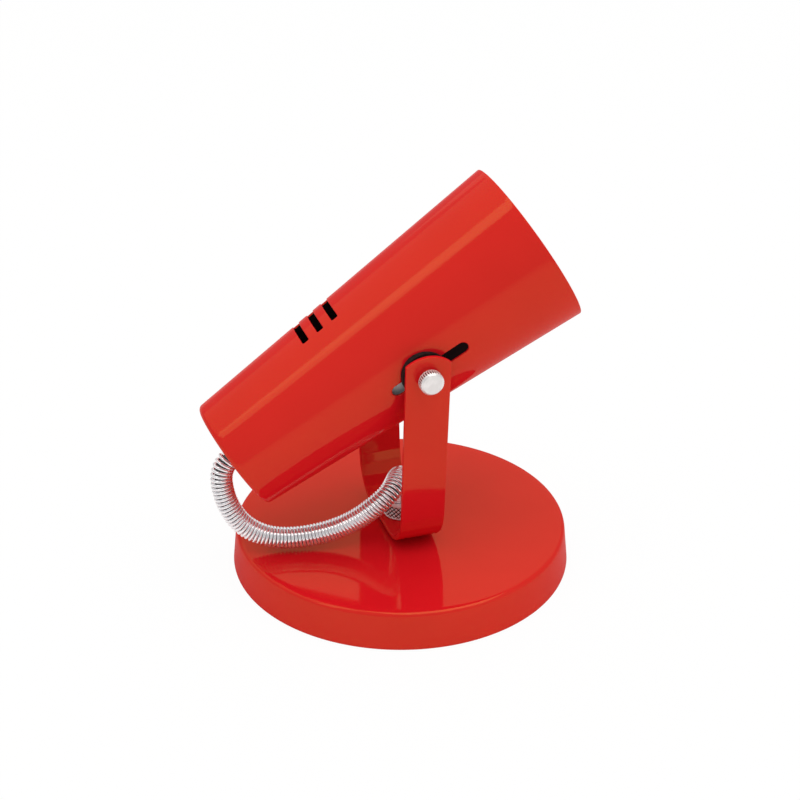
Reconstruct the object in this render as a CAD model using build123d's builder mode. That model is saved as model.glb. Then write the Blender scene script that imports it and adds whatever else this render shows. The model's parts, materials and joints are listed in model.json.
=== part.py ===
from build123d import *
import os
from math import cos, radians, sin, sqrt, tan

os.makedirs("parts", exist_ok=True)

# A small spot lamp on a round weighted foot. Millimetres, +Z up.
# The origin is the centre of the foot on the table. The head points along +X and tilts about Y.

# Foot
base_radius = 65.0
skirt_height = 14.5
skirt_taper = 6.3
base_sheet = 1.2
base_edge_round = 1.8
foot_proud = 0.5
pad_thickness = 1.7
pad_inset = 6.0
pad_screw_hole_radius = 3.8
cover_thickness = 1.2
cover_gap = 0.4
ballast_outer_radius = 54.0
ballast_inner_radius = 17.0
ballast_thickness = 8.0
boss_radius = 5.0
cover_screw_circle = 36.0
cover_screw_radius = 1.5
cover_screw_head_radius = 2.9
cover_screw_head = 1.4
cover_screw_grip = 6.0
cover_screw_count = 3
window_width = 34.0
terminal_length = 28.0
terminal_depth = 14.0
terminal_height = 7.6
terminal_start = 21.0
terminal_ways = 3
terminal_screw_radius = 1.7
terminal_screw_height = 1.9
terminal_well_depth = 2.5
terminal_entry_depth = 4.6
terminal_round = 0.4

# Cable inlet in the skirt
inlet_height = 8.4
inlet_bore_radius = 3.1
inlet_neck_radius = 4.1
inlet_flange_radius = 5.1
inlet_flange = 1.2
inlet_gap = 0.3

# Hollow threaded stem, its nuts and the swivel spacer
stem_radius = 4.95
stem_bore_radius = 3.5
close_fit = 0.05
lock_nut_flats = 14.0
lock_nut_height = 3.0
lock_washer_radius = 8.0
lock_washer_thickness = 0.8
spacer_radius = 8.0
spacer_thickness = 1.0

# U bracket bent from strip
strip_width = 16.6
strip_thickness = 1.5
arm_gap = 2.8
arm_splay = 4.4
bend_radius = 16.0
pivot_height = 91.1
arm_top_rise = 8.5
arm_top_radius = 12.5
screw_hole_radius = 2.15

# Head: a tapered can on a centreline a little above the pivot
head_angle = 31.5
axis_rise = 2.25
rear_length = 73.9
front_length = 59.1
rear_radius = 21.6
front_radius = 32.0
shade_wall = 0.9
rear_round = 1.8
conduit_hole_gap = 0.7
slot_rear = 11.0
slot_front = 15.9
slot_width = 4.6
vent_width = 2.75
vent_first = -27.4
vent_pitch = 6.55
vent_count = 3
vent_near_angle = 15.0
vent_far_angle = 38.0
vent_cut_depth = 3.0

# Clamp screws at the pivot
screw_radius = 1.95
knob_radius = 4.4
knob_length = 3.5
knob_collar_radius = 3.4
knob_collar = 1.1
knob_edge = 0.9
knob_back_edge = 0.4
knob_gap = 0.35
friction_washer_radius = 8.7
friction_washer_gap = 0.15
shade_gap = 0.3
inner_washer_radius = 4.0
inner_washer_gap = 1.95
clamp_nut_flats = 7.0
clamp_nut_height = 2.6
screw_end = 0.3

# Lampholder carrier inside the head
carrier_thickness = 1.5
carrier_width = 14.0
ear_half_gap = 21.8
ear_front = 7.0
ear_straight = 9.0
carrier_plate_at = -50.0
carrier_plate_half = 17.4
carrier_bend = 3.0

# Lampholder for an E27 lamp
holder_length = 45.0
holder_radius = 17.5
holder_neck_radius = 12.5
holder_neck = 9.0
holder_shoulder = 5.0
holder_bore_radius = 14.3
holder_bore_depth = 29.0
holder_edge = 1.0
shell_radius = 13.3
shell_wall = 0.8
shell_inset = 1.5
shell_length = 23.0
contact_width = 6.0
contact_tip = 2.5
contact_thickness = 0.5
contact_rise = 3.4
contact_screw_radius = 1.5
contact_screw_head_radius = 2.6
contact_screw_head = 1.5
contact_screw_grip = 3.0
contact_screw_offset = 8.5

# Spring conduit and its two ferrule nuts
ferrule_radius = 6.4
ferrule_length = 6.5
ferrule_edge = 0.8
ferrule_seat = 2.0
ferrule_thread = 3.2
conduit_radius = 4.25
conduit_wire = 1.2
conduit_fit = 0.1
conduit_overshoot = 6.5
conduit_sag = 0.25
arc_share = 0.45
lead_radius = 2.5
lead_bend = 4.0
lead_end_depth = 4.0
lead_joint_gap = 0.1

# Heights and places that follow from the sizes above
base_top = foot_proud + skirt_height
sheet_underside = base_top - base_sheet
skirt_slope = tan(radians(skirt_taper))
cover_bottom = pad_thickness
cover_top = cover_bottom + cover_thickness
ballast_bottom = sheet_underside - ballast_thickness
plate_bottom = base_top + spacer_thickness
plate_top = plate_bottom + strip_thickness
ferrule_depth = ferrule_length - ferrule_seat

pivot = Vector(0, 0, pivot_height)
head_dir = Vector(cos(radians(head_angle)), 0, sin(radians(head_angle)))
head_up = Vector(-sin(radians(head_angle)), 0, cos(radians(head_angle)))


def on_axis(distance, rise=0):
    """A point of the head's centreline, distance ahead of the pivot."""
    return pivot + head_dir * distance + head_up * (axis_rise + rise)


def shade_radius(distance):
    """Outside radius of the shade, distance ahead of the pivot."""
    taper = (front_radius - rear_radius) / (front_length + rear_length)
    return rear_radius + taper * (distance + rear_length)


def skirt_radius(height):
    """Outside radius of the skirt at a height above the table."""
    return base_radius - (height - foot_proud) * skirt_slope


# The arms stand clear of the shade at the pivot and come together towards the foot.
splay_slope = tan(radians(arm_splay))
arm_inner_at_pivot = shade_radius(0) + arm_gap
arm_outer_at_pivot = arm_inner_at_pivot + strip_thickness / cos(radians(arm_splay))
bracket_half_width = arm_outer_at_pivot - (pivot_height - plate_bottom) * splay_slope

head_axis = Axis(tuple(on_axis(0)), tuple(head_dir))
head_plane = Plane(origin=on_axis(0), x_dir=head_dir, z_dir=(0, -1, 0))
pivot_section = Plane(origin=pivot, x_dir=(0, 1, 0), z_dir=(1, 0, 0))


def finish(part, label):
    """Name a finished piece and write its file."""
    part.label = label
    export_step(part, f"parts/{label}.step")


# ---- Foot

# Pressed steel dish: flat top, tapered skirt and a soft edge between them.
with BuildPart() as base_shell:
    with BuildSketch(Plane.XZ) as dish_section:
        with BuildLine():
            Polyline(
                (stem_radius + close_fit, base_top),
                (skirt_radius(base_top), base_top),
                (skirt_radius(foot_proud), foot_proud),
                (skirt_radius(foot_proud) - base_sheet, foot_proud),
                (skirt_radius(sheet_underside) - base_sheet, sheet_underside),
                (stem_radius + close_fit, sheet_underside),
                close=True,
            )
        make_face()
        outer_edge = dish_section.vertices().sort_by_distance((skirt_radius(base_top), base_top))[0]
        fillet(outer_edge, base_edge_round)
        inner_corner = (skirt_radius(sheet_underside) - base_sheet, sheet_underside)
        inner_edge = dish_section.vertices().sort_by_distance(inner_corner)[0]
        fillet(inner_edge, base_edge_round - base_sheet / 2)
    revolve(axis=Axis.Z)
    with BuildSketch(Plane.XZ):
        with Locations((0, inlet_height)):
            Circle(inlet_neck_radius)
    extrude(amount=-base_radius, mode=Mode.SUBTRACT)
finish(base_shell.part, "base_shell")

# Cast-iron weight under the top sheet, with a window for the terminals and bosses for the cover.
with BuildPart() as ballast_weight:
    with BuildSketch(Plane.XY.offset(ballast_bottom)):
        Circle(ballast_outer_radius)
        Circle(ballast_inner_radius, mode=Mode.SUBTRACT)
    extrude(amount=ballast_thickness)
    with BuildSketch(Plane.XY.offset(ballast_bottom)):
        with Locations((0, ballast_outer_radius / 2)):
            Rectangle(window_width, ballast_outer_radius)
    extrude(amount=ballast_thickness, mode=Mode.SUBTRACT)
    with BuildSketch(Plane.XY.offset(cover_top)):
        with PolarLocations(cover_screw_circle, cover_screw_count, start_angle=-90):
            Circle(boss_radius)
    extrude(amount=ballast_bottom - cover_top + ballast_thickness / 2)
    with BuildSketch(Plane.XY.offset(cover_top)):
        with PolarLocations(cover_screw_circle, cover_screw_count, start_angle=-90):
            Circle(cover_screw_radius)
    extrude(amount=cover_screw_grip, mode=Mode.SUBTRACT)
finish(ballast_weight.part, "ballast_weight")

# Steel cover that closes the foot from below.
cover_radius = skirt_radius(cover_top) - base_sheet - cover_gap
with BuildPart() as bottom_cover:
    with BuildSketch(Plane.XY.offset(cover_bottom)):
        Circle(cover_radius)
        with PolarLocations(cover_screw_circle, cover_screw_count, start_angle=-90):
            Circle(cover_screw_radius, mode=Mode.SUBTRACT)
    extrude(amount=cover_thickness)
finish(bottom_cover.part, "bottom_cover")

# Foam disc the lamp stands on, cut out around the screw heads.
with BuildPart() as foot_pad:
    with BuildSketch():
        Circle(base_radius - pad_inset)
        with PolarLocations(cover_screw_circle, cover_screw_count, start_angle=-90):
            Circle(pad_screw_hole_radius, mode=Mode.SUBTRACT)
    extrude(amount=pad_thickness)
finish(foot_pad.part, "foot_pad")

# Pan-head screws through the cover into the bosses.
with BuildPart() as cover_screws:
    with BuildSketch(Plane.XY.offset(cover_bottom)):
        with PolarLocations(cover_screw_circle, cover_screw_count, start_angle=-90):
            Circle(cover_screw_head_radius)
    extrude(amount=-cover_screw_head)
    with BuildSketch(Plane.XY.offset(cover_bottom)):
        with PolarLocations(cover_screw_circle, cover_screw_count, start_angle=-90):
            Circle(cover_screw_radius - close_fit)
    extrude(amount=cover_thickness + cover_screw_grip - close_fit)
finish(cover_screws.part, "cover_screws")

# Three-way terminal block on the cover, where the mains flex would be joined to the lamp's lead.
with BuildPart() as terminal_block:
    with BuildSketch(Plane.XY.offset(cover_top)):
        with Locations((0, terminal_start + terminal_depth / 2)):
            Rectangle(terminal_length, terminal_depth)
    extrude(amount=terminal_height)
    fillet(terminal_block.edges().filter_by(Axis.Z), terminal_round)
    with BuildSketch(Plane.XY.offset(cover_top + terminal_height)):
        with Locations((0, terminal_start + terminal_depth / 2)):
            with GridLocations(terminal_length / terminal_ways, terminal_depth / 2, terminal_ways, 2):
                Circle(terminal_screw_radius)
    extrude(amount=-terminal_well_depth, mode=Mode.SUBTRACT)
    with BuildSketch(Plane.XZ.offset(-terminal_start)):
        with Locations((0, cover_top + terminal_height / 2)):
            Circle(lead_radius)
    extrude(amount=-terminal_entry_depth, mode=Mode.SUBTRACT)
finish(terminal_block.part, "terminal_block")

# Screws that clamp the wires in the block.
with BuildPart() as terminal_screws:
    with BuildSketch(Plane.XY.offset(cover_top + terminal_height - terminal_well_depth)):
        with Locations((0, terminal_start + terminal_depth / 2)):
            with GridLocations(terminal_length / terminal_ways, terminal_depth / 2, terminal_ways, 2):
                Circle(terminal_screw_radius - close_fit)
    extrude(amount=terminal_screw_height)
finish(terminal_screws.part, "terminal_screws")

# Rubber grommet in the skirt, on the side away from the head's left: the mains flex enters here.
inlet_outside = skirt_radius(inlet_height - inlet_flange_radius)
inlet_inside = skirt_radius(inlet_height + inlet_flange_radius) - base_sheet - inlet_gap
with BuildPart() as cable_grommet:
    with BuildSketch(Plane.YZ) as grommet_section:
        with BuildLine():
            Polyline(
                (inlet_inside - inlet_flange, inlet_height + inlet_bore_radius),
                (inlet_inside - inlet_flange, inlet_height + inlet_flange_radius),
                (inlet_inside, inlet_height + inlet_flange_radius),
                (inlet_inside, inlet_height + inlet_neck_radius - close_fit),
                (inlet_outside, inlet_height + inlet_neck_radius - close_fit),
                (inlet_outside, inlet_height + inlet_flange_radius),
                (inlet_outside + inlet_flange, inlet_height + inlet_flange_radius - inlet_gap),
                (inlet_outside + inlet_flange, inlet_height + inlet_bore_radius),
                close=True,
            )
        make_face()
    revolve(axis=Axis((0, 0, inlet_height), (0, 1, 0)))
finish(cable_grommet.part, "cable_grommet")

# ---- Stem and swivel

# Hollow threaded stem: it holds the bracket on the foot and the lead runs through it.
stem_bottom = sheet_underside - lock_washer_thickness - lock_nut_height
stem_top = plate_top + ferrule_thread
with BuildPart() as hollow_stem:
    with BuildSketch(Plane.XY.offset(stem_bottom)):
        Circle(stem_radius)
        Circle(stem_bore_radius, mode=Mode.SUBTRACT)
    extrude(amount=stem_top - stem_bottom)
finish(hollow_stem.part, "hollow_stem")

with BuildPart() as lock_washer:
    with BuildSketch(Plane.XY.offset(sheet_underside - lock_washer_thickness)):
        Circle(lock_washer_radius)
        Circle(stem_radius + close_fit, mode=Mode.SUBTRACT)
    extrude(amount=lock_washer_thickness)
finish(lock_washer.part, "lock_washer")

with BuildPart() as lock_nut:
    with BuildSketch(Plane.XY.offset(stem_bottom)):
        RegularPolygon(lock_nut_flats / 2, 6, major_radius=False)
        Circle(stem_radius + close_fit, mode=Mode.SUBTRACT)
    extrude(amount=lock_nut_height)
finish(lock_nut.part, "lock_nut")

# Dark fibre spacer the bracket turns on.
with BuildPart() as swivel_spacer:
    with BuildSketch(Plane.XY.offset(base_top)):
        Circle(spacer_radius)
        Circle(stem_radius + close_fit, mode=Mode.SUBTRACT)
    extrude(amount=spacer_thickness)
finish(swivel_spacer.part, "swivel_spacer")

# U bracket: strip bent up at both ends, arms splayed, tops cut to a shallow arc with shoulders.
arm_top = pivot_height + arm_top_rise
arm_top_half = bracket_half_width + (arm_top - plate_bottom) * splay_slope
arc_drop = arm_top_radius - sqrt(arm_top_radius**2 - (strip_width / 2) ** 2)
with BuildPart() as bracket:
    with BuildSketch(Plane.YZ):
        with BuildLine():
            FilletPolyline(
                (-arm_top_half, arm_top),
                (-bracket_half_width, plate_bottom),
                (bracket_half_width, plate_bottom),
                (arm_top_half, arm_top),
                radius=bend_radius,
            )
            offset(amount=strip_thickness, side=Side.LEFT)
        make_face()
    extrude(amount=strip_width / 2, both=True)
    with BuildSketch(Plane.XZ):
        with BuildLine():
            Polyline(
                (-strip_width / 2, arm_top - arc_drop),
                (-strip_width / 2, 0),
                (strip_width / 2, 0),
                (strip_width / 2, arm_top - arc_drop),
            )
            ThreePointArc(
                (strip_width / 2, arm_top - arc_drop),
                (0, arm_top),
                (-strip_width / 2, arm_top - arc_drop),
            )
        make_face()
    extrude(amount=arm_top_half * 2, both=True, mode=Mode.INTERSECT)
    with BuildSketch(Plane.XZ):
        with Locations((0, pivot_height)):
            Circle(screw_hole_radius)
    extrude(amount=arm_top_half * 2, both=True, mode=Mode.SUBTRACT)
    with BuildSketch(Plane.XY.offset(plate_bottom)):
        Circle(stem_radius + close_fit)
    extrude(amount=strip_thickness, mode=Mode.SUBTRACT)
finish(bracket.part, "bracket")


def make_ferrule(seat, label):
    """Knurled nut that stands on a plane: it takes the stem below and the spring conduit on top."""
    with BuildPart() as ferrule:
        with BuildSketch(seat):
            Circle(ferrule_radius)
        extrude(amount=ferrule_length)
        chamfer(ferrule.edges().filter_by(GeomType.CIRCLE), ferrule_edge)
        with BuildSketch(seat):
            Circle(stem_radius + close_fit)
        extrude(amount=ferrule_thread, mode=Mode.SUBTRACT)
        with BuildSketch(seat):
            Circle(conduit_radius - conduit_wire)
        extrude(amount=ferrule_length, mode=Mode.SUBTRACT)
        with BuildSketch(seat.offset(ferrule_depth)):
            Circle(conduit_radius + conduit_fit)
        extrude(amount=ferrule_seat, mode=Mode.SUBTRACT)
    finish(ferrule.part, label)


make_ferrule(Plane.XY.offset(plate_top), "base_ferrule")

# ---- Spring conduit with the lead inside

carrier_back = carrier_plate_at - carrier_thickness / 2
carrier_front = carrier_plate_at + carrier_thickness / 2
conduit_end = carrier_back - ferrule_depth - conduit_fit
conduit_turn = -rear_length - conduit_overshoot
conduit_route = [
    (0, 0, plate_top + ferrule_depth),
    (0, 0, 33.2),
    (-3.3, -8.2, 39.2),
    (-10.0, -15.7, 35.3),
    (-25.7, -12.1, 22.7),
    (-48.2, -8.6, 19.5),
    (-61.7, -4.0, 24.1),
    (-68.7, -1.7, 36.2),
    tuple(on_axis(conduit_turn)),
    tuple(on_axis((conduit_turn + conduit_end) / 2, -conduit_sag)),
    tuple(on_axis(conduit_end)),
]


def corner_radii(route):
    """Arc at each corner: a set share of the shorter run over the tangent of half the turn."""
    radii = []
    for before, corner, after in zip(route, route[1:], route[2:]):
        run_in = Vector(*corner) - Vector(*before)
        run_out = Vector(*after) - Vector(*corner)
        half_turn = radians(run_in.get_angle(run_out)) / 2
        radii.append(arc_share * min(run_in.length, run_out.length) / tan(half_turn))
    return radii


conduit_radii = corner_radii(conduit_route)
print("conduit arc radii", [round(radius, 1) for radius in conduit_radii])

with BuildPart() as spring_conduit:
    with BuildLine() as conduit_path:
        FilletPolyline(*conduit_route, radius=conduit_radii)
    with BuildSketch(Plane(origin=conduit_route[0], z_dir=(0, 0, 1))) as conduit_section:
        Circle(conduit_radius)
        Circle(conduit_radius - conduit_wire, mode=Mode.SUBTRACT)
    sweep()
conduit_length = conduit_path.wires()[0].length
print("conduit length", round(conduit_length, 1), "volume", round(spring_conduit.part.volume))
print("section times length", round(conduit_section.sketch.area * conduit_length))
finish(spring_conduit.part, "spring_conduit")

# The lead runs on through the conduit into the back of the lampholder.
lead_joint = plate_top
head_lead_route = [
    (0, 0, lead_joint),
    *conduit_route[1:-1],
    tuple(on_axis(carrier_front + lead_end_depth)),
]
head_lead_radii = corner_radii(head_lead_route)
print("head lead arc radii", [round(radius, 1) for radius in head_lead_radii])
with BuildPart() as head_lead:
    with BuildLine() as head_lead_path:
        FilletPolyline(*head_lead_route, radius=head_lead_radii)
    with BuildSketch(Plane(origin=head_lead_route[0], z_dir=(0, 0, 1))) as head_lead_section:
        Circle(lead_radius)
    sweep()
head_lead_length = head_lead_path.wires()[0].length
print("head lead length", round(head_lead_length, 1), "volume", round(head_lead.part.volume))
print("section times length", round(head_lead_section.sketch.area * head_lead_length))
finish(head_lead.part, "head_lead")

# Its lower part turns under the stem and ends in the terminals; the two meet inside the stem.
lead_height = cover_top + terminal_height / 2
base_lead_route = [
    (0, terminal_start, lead_height),
    (0, 0, lead_height),
    (0, 0, lead_joint - lead_joint_gap),
]
with BuildPart() as base_lead:
    with BuildLine() as base_lead_path:
        FilletPolyline(*base_lead_route, radius=lead_bend)
    with BuildSketch(Plane(origin=base_lead_route[0], z_dir=(0, -1, 0))) as base_lead_section:
        Circle(lead_radius)
    sweep()
base_lead_length = base_lead_path.wires()[0].length
print("base lead length", round(base_lead_length, 1), "volume", round(base_lead.part.volume))
print("section times length", round(base_lead_section.sketch.area * base_lead_length))
finish(base_lead.part, "base_lead")

# ---- Head: carrier and lampholder

# Strip carrier: a back plate with two arms that open out to the clamp screws.
with BuildPart() as lampholder_carrier:
    plate_corner = carrier_plate_half - carrier_thickness / 2
    ear_middle = ear_half_gap + carrier_thickness / 2
    with BuildSketch(Plane(origin=on_axis(0), x_dir=head_dir, z_dir=head_up)):
        with BuildLine():
            FilletPolyline(
                (ear_front, ear_half_gap),
                (-ear_straight, ear_half_gap),
                (carrier_front, carrier_plate_half),
                (carrier_front, -carrier_plate_half),
                (-ear_straight, -ear_half_gap),
                (ear_front, -ear_half_gap),
                radius=carrier_bend,
            )
            offset(amount=carrier_thickness, side=Side.RIGHT)
        make_face()
    extrude(amount=carrier_width / 2, both=True)
    with BuildSketch(Plane.XZ):
        with Locations((0, pivot_height)):
            Circle(screw_hole_radius)
    extrude(amount=ear_middle * 2, both=True, mode=Mode.SUBTRACT)
    with BuildSketch(Plane(origin=on_axis(carrier_back), z_dir=head_dir)):
        Circle(stem_radius + close_fit)
    extrude(amount=carrier_thickness, mode=Mode.SUBTRACT)
finish(lampholder_carrier.part, "lampholder_carrier")

# Short hollow nipple that joins ferrule, carrier and lampholder.
nipple_start = carrier_back - ferrule_thread
nipple_end = carrier_front + holder_neck - holder_edge
with BuildPart() as holder_nipple:
    with BuildSketch(Plane(origin=on_axis(nipple_start), z_dir=head_dir)):
        Circle(stem_radius)
        Circle(stem_bore_radius, mode=Mode.SUBTRACT)
    extrude(amount=nipple_end - nipple_start)
finish(holder_nipple.part, "holder_nipple")

make_ferrule(Plane(origin=on_axis(carrier_back), z_dir=-head_dir), "head_ferrule")

# Porcelain lampholder body with the well for the screw shell.
holder_front = carrier_front + holder_length
well_floor = holder_front - holder_bore_depth
with BuildPart() as lampholder_body:
    with BuildSketch(head_plane):
        with BuildLine():
            Polyline(
                (carrier_front, stem_radius + close_fit),
                (carrier_front, holder_neck_radius),
                (carrier_front + holder_neck, holder_neck_radius),
                (carrier_front + holder_neck + holder_shoulder, holder_radius),
                (holder_front - holder_edge, holder_radius),
                (holder_front, holder_radius - holder_edge),
                (holder_front, holder_bore_radius),
                (well_floor, holder_bore_radius),
                (well_floor, stem_radius + close_fit),
                close=True,
            )
        make_face()
    revolve(axis=head_axis)
    screw_face = Plane(origin=on_axis(well_floor), x_dir=(0, 1, 0), z_dir=-head_dir)
    with BuildSketch(screw_face):
        with GridLocations(contact_screw_offset * 2, 0, 2, 1):
            Circle(contact_screw_radius)
    extrude(amount=contact_screw_grip, mode=Mode.SUBTRACT)
finish(lampholder_body.part, "lampholder_body")

# Threaded shell that the lamp screws into.
shell_front = holder_front - shell_inset
with BuildPart() as screw_shell:
    with BuildSketch(Plane(origin=on_axis(shell_front), z_dir=-head_dir)):
        Circle(shell_radius + shell_wall)
        Circle(shell_radius, mode=Mode.SUBTRACT)
    extrude(amount=shell_length)
finish(screw_shell.part, "screw_shell")

# Springy tongue at the bottom of the well, bent forward to meet the lamp's centre contact.
with BuildPart() as centre_contact:
    with BuildSketch(Plane(origin=on_axis(well_floor), x_dir=head_dir, z_dir=head_up)):
        with BuildLine():
            Polyline(
                (0, contact_screw_offset - contact_screw_radius - close_fit),
                (contact_thickness, contact_screw_offset - contact_screw_radius - close_fit),
                (contact_thickness, contact_screw_offset / 2),
                (contact_rise + contact_thickness, -contact_tip),
                (contact_rise, -contact_tip - contact_thickness),
                (0, contact_screw_offset / 2 - contact_thickness),
                close=True,
            )
        make_face()
    extrude(amount=contact_width / 2, both=True)
finish(centre_contact.part, "centre_contact")

# Screws in the floor of the well.
with BuildPart() as contact_screws:
    head_face = Plane(origin=on_axis(well_floor + contact_thickness), x_dir=(0, 1, 0), z_dir=head_dir)
    with BuildSketch(head_face):
        with GridLocations(contact_screw_offset * 2, 0, 2, 1):
            Circle(contact_screw_head_radius)
    extrude(amount=contact_screw_head)
    with BuildSketch(head_face):
        with GridLocations(contact_screw_offset * 2, 0, 2, 1):
            Circle(contact_screw_radius - close_fit)
    extrude(amount=-contact_thickness - contact_screw_grip + close_fit)
finish(contact_screws.part, "contact_screws")

# ---- Head: shade

# Direction from the centreline to the far end of the vents.
vent_start = head_up * cos(radians(vent_far_angle)) + Vector(0, sin(radians(vent_far_angle)), 0)

# Tapered steel shade: closed round-cornered back, open front, vents on top, clamp slots at the sides.
with BuildPart() as shade:
    with BuildSketch(head_plane) as shade_section:
        with BuildLine():
            Polyline(
                (-rear_length, conduit_radius + conduit_hole_gap),
                (-rear_length, rear_radius),
                (front_length, front_radius),
                (front_length, front_radius - shade_wall),
                (-rear_length + shade_wall, shade_radius(shade_wall - rear_length) - shade_wall),
                (-rear_length + shade_wall, conduit_radius + conduit_hole_gap),
                close=True,
            )
        make_face()
        back_edge = shade_section.vertices().sort_by_distance((-rear_length, rear_radius))[0]
        fillet(back_edge, rear_round)
        inside_corner = (-rear_length + shade_wall, shade_radius(shade_wall - rear_length) - shade_wall)
        inside_edge = shade_section.vertices().sort_by_distance(inside_corner)[0]
        fillet(inside_edge, rear_round - shade_wall)
    revolve(axis=head_axis)
    with BuildSketch(Plane(origin=on_axis(0), x_dir=head_dir, z_dir=head_dir.cross(vent_start))):
        for index in range(vent_count):
            vent_at = vent_first + index * vent_pitch
            with Locations((vent_at, shade_radius(vent_at))):
                Rectangle(vent_width, vent_cut_depth * 2)
    revolve(axis=head_axis, revolution_arc=vent_far_angle + vent_near_angle, mode=Mode.SUBTRACT)
    with BuildSketch(head_plane):
        with Locations(((slot_front - slot_rear) / 2, -axis_rise)):
            SlotCenterToCenter(slot_front + slot_rear, slot_width)
    extrude(amount=front_radius, both=True, mode=Mode.SUBTRACT)
finish(shade.part, "shade")

# ---- Clamp at the pivot

# Dished friction washers: saddle-shaped against the shade, falling away with the splay of the arm.
washer_face = arm_inner_at_pivot - friction_washer_gap
with BuildPart() as friction_washers:
    with BuildSketch(pivot_section):
        with BuildLine():
            Polyline(
                (rear_radius, screw_hole_radius),
                (rear_radius, friction_washer_radius),
                (washer_face - friction_washer_radius * splay_slope, friction_washer_radius),
                (washer_face - screw_hole_radius * splay_slope, screw_hole_radius),
                close=True,
            )
        make_face()
    revolve(axis=Axis(tuple(pivot), (0, 1, 0)))
    mirror(about=Plane.XZ)
    with BuildSketch(head_plane):
        with BuildLine():
            Polyline(
                (-rear_length, 0),
                (-rear_length, rear_radius + shade_gap),
                (front_length, front_radius + shade_gap),
                (front_length, 0),
                close=True,
            )
        make_face()
    revolve(axis=head_axis, mode=Mode.SUBTRACT)
finish(friction_washers.part, "friction_washers")

# Plain washers between the carrier's ears and the inside of the shade.
ear_outer = ear_half_gap + carrier_thickness
shade_inside = shade_radius(0) - shade_wall
inner_washer = shade_inside - inner_washer_gap - ear_outer
with BuildPart() as inner_washers:
    with BuildSketch(Plane(origin=pivot + Vector(0, ear_outer, 0), z_dir=(0, 1, 0))):
        Circle(inner_washer_radius)
        Circle(screw_hole_radius, mode=Mode.SUBTRACT)
    extrude(amount=inner_washer)
    mirror(about=Plane.XZ)
finish(inner_washers.part, "inner_washers")

with BuildPart() as clamp_nuts:
    with BuildSketch(Plane(origin=pivot + Vector(0, ear_half_gap, 0), x_dir=head_dir, z_dir=(0, -1, 0))):
        RegularPolygon(clamp_nut_flats / 2, 6, major_radius=False)
        Circle(screw_radius + close_fit, mode=Mode.SUBTRACT)
    extrude(amount=clamp_nut_height)
    mirror(about=Plane.XZ)
finish(clamp_nuts.part, "clamp_nuts")


def make_thumb_screw(side, label):
    """Knurled thumb screw through arm, washer, slot and ear into the nut. side is +1 or -1 along Y."""
    start = ear_half_gap - clamp_nut_height + screw_end
    collar_at = arm_outer_at_pivot + knob_gap
    knob_at = collar_at + knob_collar
    outward = (0, side, 0)
    with BuildPart() as thumb_screw:
        with BuildSketch(Plane(origin=pivot + Vector(0, side * start, 0), z_dir=outward)):
            Circle(screw_radius)
        extrude(amount=collar_at - start)
        with BuildSketch(Plane(origin=pivot + Vector(0, side * collar_at, 0), z_dir=outward)):
            Circle(knob_collar_radius)
        extrude(amount=knob_collar)
        with BuildSketch(Plane(origin=pivot + Vector(0, side * knob_at, 0), z_dir=outward)):
            Circle(knob_radius)
        extrude(amount=knob_length)
        rims = thumb_screw.edges().filter_by(GeomType.CIRCLE).group_by(SortBy.RADIUS)[-1]
        rims = rims.sort_by(Axis(tuple(pivot), outward))
        chamfer(rims[-1], knob_edge)
        chamfer(rims[0], knob_back_edge)
    finish(thumb_screw.part, label)


make_thumb_screw(-1, "thumb_screw_left")
make_thumb_screw(1, "thumb_screw_right")
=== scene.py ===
# %% [markdown]
# # Tabletop spot lamp
#
# A tapered red metal head hangs between the arms of a U bracket on a round weighted foot. A bright
# close-wound spring conduit carries the lead from the bracket into the back of the head.
#
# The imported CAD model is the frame: it fixes where everything is and how it moves. This script builds
# the looks around it, piece by piece: finer meshes where light shows the shape, and procedural
# finishes everywhere. Lengths are written in millimetres and turned into metres by MM.

# %% Load the frame
import json
from cmath import exp as turn_by
from cmath import phase
from math import asin, cos, hypot, pi, radians, sin, sqrt, tan

import bmesh
import bpy
import numpy as np
from mathutils import Matrix, Vector

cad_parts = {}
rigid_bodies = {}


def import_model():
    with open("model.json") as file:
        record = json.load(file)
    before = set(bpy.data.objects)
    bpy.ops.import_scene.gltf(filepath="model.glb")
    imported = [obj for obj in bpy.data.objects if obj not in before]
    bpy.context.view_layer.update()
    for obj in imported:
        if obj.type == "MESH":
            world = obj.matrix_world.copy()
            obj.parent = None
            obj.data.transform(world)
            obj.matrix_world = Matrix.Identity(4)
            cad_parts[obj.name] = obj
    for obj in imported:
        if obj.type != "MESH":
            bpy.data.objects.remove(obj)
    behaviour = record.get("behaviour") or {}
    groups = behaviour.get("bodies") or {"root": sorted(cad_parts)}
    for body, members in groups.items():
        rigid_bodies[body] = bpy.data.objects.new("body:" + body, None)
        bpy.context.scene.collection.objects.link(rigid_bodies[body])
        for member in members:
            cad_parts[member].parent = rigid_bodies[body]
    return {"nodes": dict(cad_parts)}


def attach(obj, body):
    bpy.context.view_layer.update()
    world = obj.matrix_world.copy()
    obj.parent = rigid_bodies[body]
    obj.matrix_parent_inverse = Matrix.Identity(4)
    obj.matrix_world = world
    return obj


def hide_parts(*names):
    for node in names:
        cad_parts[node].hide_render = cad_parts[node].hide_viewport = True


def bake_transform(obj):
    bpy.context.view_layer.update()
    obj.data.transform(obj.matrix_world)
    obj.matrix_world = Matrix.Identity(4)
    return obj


for leftover in list(bpy.data.objects):
    bpy.data.objects.remove(leftover)
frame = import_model()
MM = 0.001
scene = bpy.context.scene
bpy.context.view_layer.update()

# %% [markdown]
# ## Where things are
#
# Two local frames do most of the work. UPRIGHT stands a turned piece on the foot: its own X axis
# becomes up. HEAD is the head's own frame: X runs along the centreline towards the mouth, Z points to
# its top, and the origin is the point of the centreline beside the pivot.

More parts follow.
